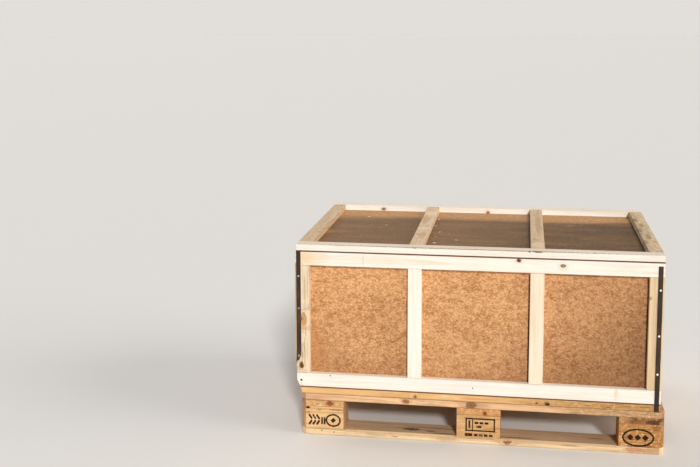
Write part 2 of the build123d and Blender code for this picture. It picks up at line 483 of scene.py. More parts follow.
@shared_effect("color")
def handling_marks(vector=ORIGIN, color=PALE, grime=DARK, scuff=PALE, amount=0.3, foot=0.0):
    """Grime, smears along the grain, dark dents and pale scuffs, with painted shade along the foot
    laid in the grime colour.
    """
    wide = vector.noise(5.0, 3.0, 0.6).spread(0.46, 0.78)
    dents = vector.streaks(90.0, 190.0, 2.0).spread(0.66, 0.76)
    smear = vector.streaks(9.0, 70.0, 4.0, 0.65).spread(0.50, 0.74)
    mask = (smear * 0.7 + wide * 0.5 + dents * 0.7) * amount
    rubs = vector.streaks(16.0, 85.0, 3.0, 0.6).spread(0.56, 0.76)
    rubs = rubs.calc("MULTIPLY", amount * 1.2, clamp=True)
    return (mix(mask.calc("ADD", foot, clamp=True), mix(rubs, color, scuff), grime),)


@shared_effect("color")
def stain_patch(
    vector=ORIGIN, centre=ORIGIN, size=(0.01, 0.01, 0.01), color=PALE, stain=DARK, amount=0.6
):
    """One uneven patch round a centre, used for stains and for painted shadows."""
    ragged = (vector.noise(150.0, 3.0, 0.6) - 0.5) * 1.4
    reach = ((vector - centre) / size).length() + ragged
    return (mix(reach.spread(0.55, 1.05, 1.0, 0.0) * amount, color, stain),)


@shared_effect("color")
def settled_dust(vector=ORIGIN, up=1.0, color=DARK, dust=DARK, specks=PALE, amount=0.6):
    """Dust on upward faces, with bare patches and pale specks of sawdust."""
    cover = vector.streaks(4.0, 15.0, 5.0, 0.65).spread(0.28, 0.60, 0.80, 1.0)
    cover = cover * vector.noise(260.0, 3.0, 0.7).spread(0.35, 0.7, 0.74, 1.0) * up * amount
    bright = vector.noise(230.0, 1.0).spread(0.72, 0.76) * vector.noise(7.0).spread(0.45, 0.6)
    return (mix(bright * up * 0.8, mix(cover, color, dust), specks),)


@shared_effect("color", "height")
def pressed_fibre(vector=ORIGIN, board=DARK, fleck=DARK, glint=PALE, strength=1.0):
    """Mottled hardboard: clouds, short lying fibres, dark flecks and pale ones."""
    clouds = (vector * (5.0, 5.0, 8.0)).noise(1.0, 3.0, 0.6)
    blots = (vector * (62.0, 62.0, 85.0)).noise(1.0, 2.0, 0.6)
    motes = (vector * (165.0, 165.0, 225.0)).noise(1.0, 2.0, 0.5)
    hairs = (vector * (190.0, 190.0, 620.0)).noise(1.0, 2.0, 0.6, 0.8)
    grains = vector.noise(900.0, 2.0, 0.6)
    dark = clouds.spread(0.35, 0.7) * 0.16 + blots.spread(0.40, 0.64) * 0.34
    dark = dark + motes.spread(0.36, 0.66) * 0.40 + motes.spread(0.66, 0.74) * 0.35
    dark = dark + hairs.spread(0.52, 0.76) * 0.22 + grains.spread(0.4, 0.8) * 0.10
    colour = mix(dark.calc("MULTIPLY", strength, clamp=True), board, fleck)
    return mix(motes.spread(0.42, 0.28) * 0.5 * strength, colour, glint), grains * 0.5 + hairs


@shared_effect("head", "dent")
def nail_row(
    vector=ORIGIN, first=ORIGIN, step=(0.1, 0.0, 0.0), count=2.0, radius=0.002, stray=0.004
):
    """A row of nails sunk flush: their steel heads and the dark dents round them."""
    away = vector - first
    number = (away.dot(step) / step.dot(step)).calc("ROUND").most(0.0).calc("MINIMUM", count - 1.0)
    drift = add(number.tree, "TexWhiteNoise", W=number, noise_dimensions="1D", out="Color") - MIDDLE
    reach = (away - step.scaled(number) - drift.scaled(stray)).length() / radius
    head = reach.spread(0.85, 1.0, 1.0, 0.0)
    return head, reach.spread(1.0, 1.6, 1.0, 0.0).calc("SUBTRACT", head, clamp=True)


@shared_effect("mask")
def scorched_mark(
    vector=ORIGIN,
    centre=ORIGIN,
    half_width=0.04,
    half_height=0.02,
    squareness=2.0,
    line=0.0016,
    fill=0.0,
    turn=0.0,
    pitch=0.0,
    count=1.0,
):
    """A row of plain rings, frames or bars burnt into a face, from a centre in the XZ plane."""
    away = vector - centre
    number = (away.part("X") / pitch).calc("ROUND").calc("MINIMUM", count - 1.0).most(0.0)
    away = away - join_parts(number * pitch, 0.0, 0.0)
    turned = add(away.tree, "VectorRotate", rotation_type="Y_AXIS", Vector=away, Angle=turn)
    sides = turned.vector_calc("ABSOLUTE")
    across = sides.part("X") / half_width
    upward = sides.part("Z") / half_height
    reach = across.calc("POWER", squareness) + upward.calc("POWER", squareness)
    reach = reach.calc("POWER", squareness.calc("POWER", -1.0))
    over = reach - 1.0
    steep = join_parts(across / half_width, 0.0, upward / half_height).length()
    off = over.calc("ABSOLUTE") * (reach / steep)
    wide = line * vector.noise(190.0, 2.0, 0.6).spread(0.3, 0.7, 0.75, 1.25)
    inside = over.spread(-0.1, 0.05, 1.0, 0.0) * fill
    mask = (off / wide).spread(0.75, 1.2, 1.0, 0.0).most(inside)
    faded = vector.noise(75.0, 3.0, 0.6).spread(0.30, 0.46, 0.75, 1.0)
    return (mask * sides.part("Y").spread(0.0015, 0.003, 1.0, 0.0) * faded,)


@shared_effect("color", "mask", "rough", "height")
def rust_bloom(vector=ORIGIN, color=DARK, rust=DARK, amount=0.3):
    """Rust and rubbed patches on rolled steel."""
    fine = vector.noise(620.0, 3.0, 0.6)
    wide = (vector * (60.0, 60.0, 16.0)).noise(1.0, 4.0, 0.65)
    mask = (fine * 0.35 + wide).spread(0.62, 0.86).calc("MULTIPLY", amount, clamp=True)
    rolled = (vector * (1500.0, 400.0, 8.0)).noise(1.0, 2.0)
    shade = rolled.spread(0.25, 0.75, 0.7, 1.3)
    base = mix(1.0, color, join_parts(shade, shade, shade), "MULTIPLY")
    rough = mask * 0.4 + rolled.spread(0.2, 0.8, 0.34, 0.54)
    return mix(mask, base, rust), mask, rough, mask * fine + rolled


# Materials

TURNS = {
    "X": (0.0, 0.0, 0.0),
    "Y": (0.0, 0.0, -math.pi / 2),
    "Z": (0.0, math.pi / 2, 0.0),
}
ALONG = {"X": (1, 0, 0), "Y": (0, 1, 0), "Z": (0, 0, 1)}
KNOT = tone(196, 134, 78)
KNOT_BARK = tone(58, 32, 18)
CRACK = tone(66, 42, 26)
SAWDUST = tone(236, 214, 178)
LID_SAWDUST = tone(214, 188, 148)
SUNK_HEAD = tone(122, 112, 102)
SUNK_HEAD_RIM = tone(70, 44, 28)


class Finish:
    """A material in the making: its tree, its shader, its coordinates and its colour so far."""

    def __init__(self, name):
        self.material = bpy.data.materials.new(name)
        self.material.use_nodes = True
        tree = self.tree = self.material.node_tree
        tree.nodes.clear()
        shader = tree.nodes.new("ShaderNodeBsdfPrincipled")
        self.inputs = shader.inputs
        node(tree, "OutputMaterial", Surface=Wire(shader.outputs["BSDF"]))
        coords = tree.nodes.new("ShaderNodeTexCoord").outputs
        self.place = Wire(coords["Object"])
        self.normal = Wire(coords["Normal"])
        self.colour = None

    def moved(self, location, rotation=(0.0, 0.0, 0.0)):
        """The place after a turn and a move, so that no two pieces share their grain."""
        return add(self.tree, "Mapping", Vector=self.place, Location=location, Rotation=rotation)

    def paint(self, factor, colour):
        """Lay a colour over the one so far."""
        self.colour = mix(factor, self.colour, colour)

    def cover(self, effect, **values):
        """Lay a shared effect over the colour so far."""
        self.colour = effect(color=self.colour, **values).color

    def stain(self, stains):
        """Lay stains and painted shadows over the colour, each a centre, a size, a colour and an
        amount.
        """
        for centre, size, stain, amount in stains:
            patch = {"centre": centre, "size": size, "stain": stain, "amount": amount}
            self.cover(stain_patch, vector=self.place, **patch)

    def set(self, name, value):
        feed(self.inputs[name], value)

    def done(self, rough, height, bump, depth):
        """Feed the shader's colour, roughness and bump. Returns the material."""
        self.set("Base Color", self.colour)
        self.set("Roughness", rough)
        self.set("Normal", add(self.tree, "Bump", Height=height, Strength=bump, Distance=depth))
        return self.material


def varied(colour, chance, amount):
    """A colour a little lighter or darker and a little warmer or colder."""
    light = 1 + chance.uniform(-amount, amount)
    warm = chance.uniform(-amount, amount) * 0.35
    red, green, blue = darker(colour, light)
    return tuple(min(1.0, value) for value in (red * (1 + warm * 0.4), green, blue * (1 - warm)))


def grain_axis(node_name):
    """The letter of a node's longest side, along which its grain runs."""
    low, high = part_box(node_name)
    size = high - low
    return "XYZ"[max(range(3), key=lambda i: size[i])]


# How a node's name can start, and the way its best-seen face then points
FACES = (
    (("front", "floor_rail_front"), (0, -1, 0)),
    (("back", "floor_rail_back"), (0, 1, 0)),
    (("left",), (-1, 0, 0)),
    (("right",), (1, 0, 0)),
    (("lid",), (0, -0.5, 0.8)),
    (("",), (0, -0.6, 0.6)),
)


def outward_face(node_name):
    """The way the best-seen face of a node points."""
    return next(Vector(face) for starts, face in FACES if node_name.startswith(starts))


def age_timber(finish, local, low, high, most, tint, pale, mottle):
    """Old wood and painted shade: a darker tint that grows along X, with cracks, pale streaks and a
    mottle. Where it grows towards the right it is painted shade; where it is even, old wood.
    """
    drift = local.streaks(5.0, 24.0, 3.0, 0.6) * 0.5 + finish.place.part("X")
    old = drift.spread(low, high, 0.0, most)
    # This tint is painted shade on the pallet pieces and the floor rail, where it grows towards the
    # right
    finish.paint(old, tint)
    finish.paint(local.streaks(16.0, 330.0, 3.0, 0.6).spread(0.55, 0.63) * old, CRACK)
    finish.paint(local.streaks(22.0, 200.0, 3.0, 0.6).spread(0.56, 0.68) * old * 0.8, pale)
    blots = local.noise(85.0, 3.0, 0.7)
    finish.paint(blots.spread(0.50, 0.62) * old * mottle, darker(tint, 0.45))
    finish.paint(blots.spread(0.46, 0.36) * old * 0.8, pale)


def timber_material(name, pale, late, look):
    """Timber cut along one axis, with rings, knots, stains, wear and marks."""
    axis = look["axis"]
    chance = random.Random(look["seed"])
    shift = Vector((chance.uniform(3, 60), 0, 0))
    turn = Euler(TURNS[axis]).to_matrix()
    finish = Finish(name)
    place = finish.place
    local = finish.moved(shift, TURNS[axis])
    jitter = Vector([chance.uniform(-0.35, 0.35) for _ in range(3)])
    inward = turn @ (jitter - Vector(look["face"]))
    inward.x = 0
    away = look.get("pith_away", chance.uniform(0.025, 0.07))
    pith = turn @ Vector(look["centre"]) + inward.normalized() * away
    pith.x = 0
    knots = SimpleNamespace(push=0.0, core=0.0, dark=0.0, halo=0.0)
    spots = look.get("knots", ())
    for spot, radius, darkness, length in spots:
        shape = {"radius": radius, "length": length, "darkness": darkness}
        centre = turn @ Vector(spot) + shift
        knots = branch_knot(vector=local, centre=centre, **shape, **vars(knots))
    grain = softwood_grain(
        vector=local,
        pith=pith,
        ring_width=look["ring"] * chance.uniform(0.8, 1.25),
        taper=look.get("taper", 1.0) * chance.uniform(-0.012, 0.012),
        wander=look.get("wander", 0.006),
        push=knots.push,
        pale=pale,
        late=late,
        **{key: look[key] for key in ("contrast", "figure", "fibre", "heart")},
    )
    face = face_direction(normal=finish.normal, along=ALONG[axis], vector=local)
    finish.colour = grain.color
    height = grain.height
    if spots:
        tints = {"knot": look.get("knot_colour", KNOT), "bark": KNOT_BARK}
        finish.cover(knot_paint, core=knots.core, dark=knots.dark, halo=knots.halo, **tints)
        height = height + knots.dark * -1.2
    finish.paint(face.end * look["end_mix"], darker(late, 0.62))
    # Painted shade along the foot of a piece, where it meets the one under it, laid in the grime
    # colour
    foot = 0.0
    if "foot" in look:
        low, high, most = look["foot"]
        foot = place.part("Z").spread(low, high, most, 0.0)
    wear = {"grime": look["grime"], "scuff": look["scuff"], "amount": look["marks"], "foot": foot}
    finish.cover(handling_marks, vector=local, **wear)
    # Old wood, and painted shade that grows towards the right
    if "aged" in look:
        age_timber(finish, local, *look["aged"], pale, look.get("mottle", 0.22))
    finish.stain(look.get("stains", ()))
    finish.paint(face.edge * look["edge_mix"], look.get("edge", darker(late, 0.45)))
    if "dust" in look:
        dust, amount = look["dust"]
        layer = {"dust": dust, "specks": SAWDUST, "amount": amount}
        finish.cover(settled_dust, vector=local, up=face.up, **layer)
    finish.stain(look.get("spills", ()))
    if "nails" in look:
        row = nail_row(vector=place, **look["nails"])
        finish.paint(row.dent * 0.8, SUNK_HEAD_RIM)
        finish.paint(row.head, SUNK_HEAD)
        finish.set("Metallic", row.head * 0.7)
        height = height + row.dent * -3.0
    burns = [scorched_mark(vector=place, **mark).mask for mark in look.get("scorches", ())]
    if burns:
        burnt = functools.reduce(Wire.most, burns)
        finish.paint(burnt * 0.96, look["scorch"])
        height = height + burnt * -2.0
    if look.get("sawn"):
        height = height + rough_sawing(vector=local, depth=look["sawn"]).height
    smooth = look.get("rough", 0.62)
    rough = grain.ring.spread(0.0, 1.0, smooth + 0.08, smooth)
    finish.set("Specular IOR Level", look.get("gloss", 0.25))
    return finish.done(rough, height, bump=0.35, depth=0.6 * MM)


def sheet_material(name, board, fleck, edge_colour, thin_axis, seed, **look):
    """Hardboard whose broad faces lie across one axis."""
    finish = Finish(name)
    place = finish.place
    local = finish.moved((seed * 1.7, seed * 0.9, seed * 0.37))
    glint = tuple(min(1.0, value * 1.18 + 0.02) for value in board)
    tints = {"board": board, "fleck": fleck, "glint": glint}
    fibre = pressed_fibre(vector=local, **tints, strength=look.get("strength", 1.0))
    face = face_direction(normal=finish.normal, along=ALONG[thin_axis], vector=local)
    finish.colour = fibre.color
    # Painted shade: the sheet grows darker towards the right and the bottom
    if "shade" in look:
        low, high, most, tint = look["shade"]
        drift = (local * (3.0, 3.0, 4.0)).noise(1.0, 2.0)
        lean = (place.part("X") - 0.05).most(0.0) + place.part("Z") * -1.1 + drift * 0.30
        worn = mix(1.0, finish.colour, tint, "MULTIPLY")
        finish.paint(lean.spread(low, high, 0.0, most), worn)
    if "dust" in look:
        dust, far_dust, amount, bare = look["dust"]
        waves = local.streaks(4.0, 9.0, 3.0, 0.6) * 0.12 + (place.part("Y") - 0.06)
        up = face.up * waves.spread(*bare, 1.0, 0.10)
        # Towards the right the dust grows darker: partly darker dust, partly painted shade
        dust = mix(place.part("X").spread(-0.15, 0.35), dust, far_dust)
        layer = {"dust": dust, "specks": LID_SAWDUST, "amount": amount}
        finish.cover(settled_dust, vector=local, up=up, **layer)
    rubs = (local * (5.0, 5.0, 60.0)).noise(1.0, 3.0, 0.6).spread(0.63, 0.72)
    rubbed = tuple(min(1.0, value * 1.35) for value in board)
    finish.paint(rubs * look.get("rubs", 0.14), rubbed)
    # Painted shadow lines beside the battens, and on the front wall one darker patch
    finish.stain(look.get("seams", ()))
    finish.paint(face.end.spread(0.2, 0.8, 1.0, 0.0), edge_colour)
    finish.set("Specular IOR Level", look.get("gloss", 0.25))
    rough = fibre.height.spread(0.4, 1.2, 0.52, 0.68)
    return finish.done(rough, fibre.height, bump=0.25, depth=0.4 * MM)


def steel_material(name, colour, rust, amount, metallic=0.75):
    """Rolled or bright steel with some rust."""
    finish = Finish(name)
    bloom = rust_bloom(vector=finish.place, color=colour, rust=rust, amount=amount)
    finish.colour = bloom.color
    finish.set("Metallic", bloom.mask.spread(0.1, 0.6, metallic, 0.0))
    return finish.done(bloom.rough, bloom.height, bump=0.25, depth=0.3 * MM)


def dress(node_name, material):
    """Give a CAD node its finish."""
    for entry in NODES[node_name].material_slots:
        entry.material = material


def dress_timber(node_name, pale, late, variation, look):
    """Give one timber node a finish of its own."""
    seed = sum(ord(letter) * (place + 3) ** 2 for place, letter in enumerate(node_name)) % 9973
    chance = random.Random(seed)
    low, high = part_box(node_name)
    pale = varied(tuple(pale), chance, variation)
    late = varied(tuple(late), chance, variation)
    look = {
        "axis": grain_axis(node_name),
        "face": outward_face(node_name),
        "seed": seed,
        "centre": (low + high) / 2,
        "heart": tuple(0.45 * a + 0.55 * b for a, b in zip(pale, late)),
        **look,
    }
    dress(node_name, timber_material(node_name + "_timber", pale, late, look))


# Modelling tools


def deselect_all():
    bpy.ops.object.select_all(action="DESELECT")


def take(obj):
    """Make one object the only selected and the active one."""
    deselect_all()
    obj.select_set(True)
    bpy.context.view_layer.objects.active = obj


def pick(obj, kind, test):
    """Select faces or vertices that pass a test, and stay in edit mode."""
    bpy.ops.object.mode_set(mode="EDIT")
    bpy.ops.mesh.select_mode(type=kind)
    bpy.ops.mesh.select_all(action="DESELECT")
    bpy.ops.object.mode_set(mode="OBJECT")
    for part in obj.data.polygons if kind == "FACE" else obj.data.vertices:
        part.select = test(part.center if kind == "FACE" else part.co, part.normal)
    bpy.ops.object.mode_set(mode="EDIT")


def object_mode():
    bpy.ops.object.mode_set(mode="OBJECT")


def placed_copy(source, name, matrix):
    """Copy an object with a mesh of its own, already in its place."""
    mesh = source.data.copy()
    mesh.transform(matrix)
    made = bpy.data.objects.new(name, mesh)
    bpy.context.scene.collection.objects.link(made)
    return made


def join_as(name, parts, material, slot):
    """Join placed copies into one piece that rides on the part."""
    sharp = math.radians(35)
    take(parts[0])
    for part in parts:
        part.select_set(True)
    if len(parts) > 1:
        bpy.ops.object.join()
    piece = bpy.context.active_object
    piece.name = name
    piece.data.name = name
    piece.data.materials.clear()
    piece.data.materials.append(material)
    take(piece)
    bpy.ops.object.shade_smooth_by_angle(angle=sharp)
    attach(piece, "root")


def outward(direction):
    """The turn that points local Z along a direction."""
    return Vector(direction).to_track_quat("Z", "Y").to_matrix().to_4x4()


def model_nail(radius, height, shank=0.0):
    """A domed nail head on local Z, with a flattened crown and, where it shows, its shank."""
    deselect_all()
    sides = 18
    sunk = 0.2 * MM
    middle = height / 2 - sunk
    bpy.ops.mesh.primitive_cylinder_add(
        vertices=sides, radius=radius, depth=height, location=(0, 0, middle)
    )
    nail = bpy.context.active_object
    bpy.ops.object.transform_apply()
    pick(nail, "FACE", lambda centre, normal: normal.z > 0.9)
    step_in = radius * 0.30
    for rise in (0.30, 0.08):
        bpy.ops.mesh.inset(thickness=step_in)
        bpy.ops.transform.translate(value=(0, 0, height * rise))
    if shank:
        pick(nail, "FACE", lambda centre, normal: normal.z < -0.9)
        bpy.ops.mesh.inset(thickness=radius * 0.55)
        move = {"value": (0, 0, -shank)}
        bpy.ops.mesh.extrude_region_move(TRANSFORM_OT_translate=move)
    object_mode()
    return nail


def model_splinter(length, width, seed):
    """A torn sliver of wood that runs up local Z from the origin to a point."""
    deselect_all()
    bpy.ops.mesh.primitive_cube_add(size=1, location=(0, 0, 0.5))
    sliver = bpy.context.active_object
    bpy.ops.object.transform_apply()
    bpy.ops.object.mode_set(mode="EDIT")
    bpy.ops.mesh.select_all(action="SELECT")
    bpy.ops.transform.resize(value=(width, width * 0.55, length), center_override=(0, 0, 0))
    bpy.ops.mesh.subdivide(number_cuts=5)
    taper = (0.62, 0.55, 1)
    for share in (0.45, 0.72, 0.95):
        object_mode()
        pick(sliver, "VERT", lambda place, normal: place.z > length * share)
        bpy.ops.transform.resize(value=taper, center_override=(0, 0, 0))
    bpy.ops.mesh.select_all(action="SELECT")
    bpy.ops.transform.vertex_random(offset=width * 0.16, uniform=0.6, normal=0, seed=seed)
    object_mode()
    return sliver


# Looks of the timbers


def look_of(contrast, figure, marks, **more):
    """How strong the rings, the bands and the wear are, and what else sets a timber apart."""
    return {"contrast": contrast, "figure": figure, "marks": marks, **more}


# In a look, the aged and shaded entry holds where along X the darker tint starts and where it is
# full, its strength and
#  its tint: old wood where it is even, painted shade where it grows towards the right. "foot" holds
#      the heights at which
#  painted shade along the foot is full and gone, and its strength. "dust" holds a colour and a
#  strength.
CRATE_LOOK = {
    "fibre": 0.30,
    "rough": 0.60,
    "end_mix": 0.45,
    "edge_mix": 0.30,
    "grime": tone(150, 118, 82),
    "scuff": tone(252, 244, 226),
}
PALLET_LOOK = {
    "fibre": 0.58,
    "sawn": 0.8,
    "rough": 0.70,
    "end_mix": 0.45,
    "edge_mix": 0.55,
    "grime": tone(112, 84, 58),
    "scuff": tone(246, 222, 184),
}
SKID_LOOK = {
    "edge": tone(236, 206, 162),
    "dust": (tone(188, 152, 116), 0.85),
    "foot": (0.0, 0.006, 0.25),
    "gloss": 0.08,
}
LID_BATTEN_LOOK = {
    "gloss": 0.08,
    "aged": (-2.0, -1.0, 0.50, tone(226, 196, 160)),
    "dust": (tone(214, 186, 154), 0.40),
    "mottle": 0.6,
}
# A word in the timber's name, the name of its colour in the settings and its look
LOOKS = (
    ("pallet_deck", "deck", look_of(0.5, 0.3, 0.5)),
    ("pallet_cross", "cross", look_of(0.75, 0.35, 0.6, end_mix=0.12)),
    ("pallet_blocks", "block", look_of(0.75, 0.45, 0.45, foot=(0.022, 0.04, 0.15), gloss=0.08)),
    ("pallet_skid", "skid", look_of(0.7, 0.4, 0.55, **SKID_LOOK)),
    ("floor", "floor_batten", look_of(0.6, 0.45, 0.4)),
    ("lid_cross", "lid_batten", look_of(0.7, 0.5, 0.5, **LID_BATTEN_LOOK)),
    ("front_post_2", "rail", look_of(0.25, 0.15, 0.22)),
    ("_post_", "post", look_of(0.5, 0.4, 0.22)),
    ("lid", "rail", look_of(0.35, 0.25, 0.16, dust=(tone(222, 198, 166), 0.5))),
    ("", "rail", look_of(0.35, 0.25, 0.16)),
)


def on_front(depth, *rows):
    """Stains on the front, each X, Z, half width, half height, colour, strength, in millimetres."""
    return [
        ((x * MM, FRONT_Y, z * MM), (wide * MM, depth * MM, high * MM), tone(*rgb), amount)
        for x, z, wide, high, rgb, amount in rows
    ]


def on_top(level, depth, *rows):
    """Stains on a top face, each X, Y, half width, half length, colour, strength."""
    return [
        ((x * MM, y * MM, level), (wide * MM, deep * MM, depth * MM), tone(*rgb), amount)
        for x, y, wide, deep, rgb, amount in rows
    ]


def lid_nails(y):
    """Seven nails along one rail of the lid."""
    count = 7
    start = LEFT_X + END_MARGIN
    pitch = (RIGHT_X - END_MARGIN - start) / (count - 1)
    return {"first": (start, y, LID_TOP), "step": (pitch, 0, 0), "count": count}


# Burnt marks on the front blocks, in millimetres: plain shapes, none of them a letter or a digit.
# Rings: X, Z, half width and half height
RINGS = ((517.5, 54.0, 48.2, 27.7), (-490.5, 53.0, 23.5, 20.0))
# Bars: X, Z, half width, half height, turn in radians, pitch and count
BARS = (
    (-569.0, 63.0, 3.2, 9.0, 0.6, 13.0, 3),
    (-569.0, 43.0, 3.2, 9.0, -0.6, 13.0, 3),
    (-529.0, 50.0, 2.8, 12.0, 0.0, 8.5, 2),
    (-490.5, 53.0, 7.0, 6.0, 0.8, 0.0, 1),
    (492.5, 54.7, 7.5, 7.5, 0.8, 24.0, 3),
    (-40.0, 66.5, 2.2, 22.5, 0.0, 93.0, 2),
    (6.5, 87.0, 45.8, 2.2, 0.0, 0.0, 1),
    (6.5, 46.0, 45.8, 2.2, 0.0, 0.0, 1),
    (-19.0, 66.5, 1.3, 20.5, 0.0, 0.0, 1),
    (-29.5, 67.0, 2.8, 13.0, 0.0, 0.0, 1),
    (-6.0, 73.0, 6.0, 3.4, 0.0, 16.5, 3),
    (2.0, 60.0, 8.0, 3.2, 0.0, 0.0, 1),
    (-32.0, 31.0, 12.0, 5.0, 0.0, 0.0, 1),
    (-8.0, 31.0, 5.8, 3.6, 0.0, 16.5, 4),
)


def mark_shape(x, z, half_width, half_height):
    """The place and the size of one burnt mark."""
    centre = (x * MM, FRONT_Y, z * MM)
    return {"centre": centre, "half_width": half_width * MM, "half_height": half_height * MM}


def block_marks():
    """All the burnt marks: the rings drawn as lines, the bars filled."""
    marks = [{**mark_shape(*ring), "squareness": 2.0, "line": 0.0032} for ring in RINGS]
    solid = {"squareness": 7.0, "line": 0.0004, "fill": 1.0}
    for *shape, turn, pitch, count in BARS:
        row = {"turn": turn, "pitch": pitch * MM, "count": count}
        marks.append({**mark_shape(*shape), **solid, **row})
    return marks


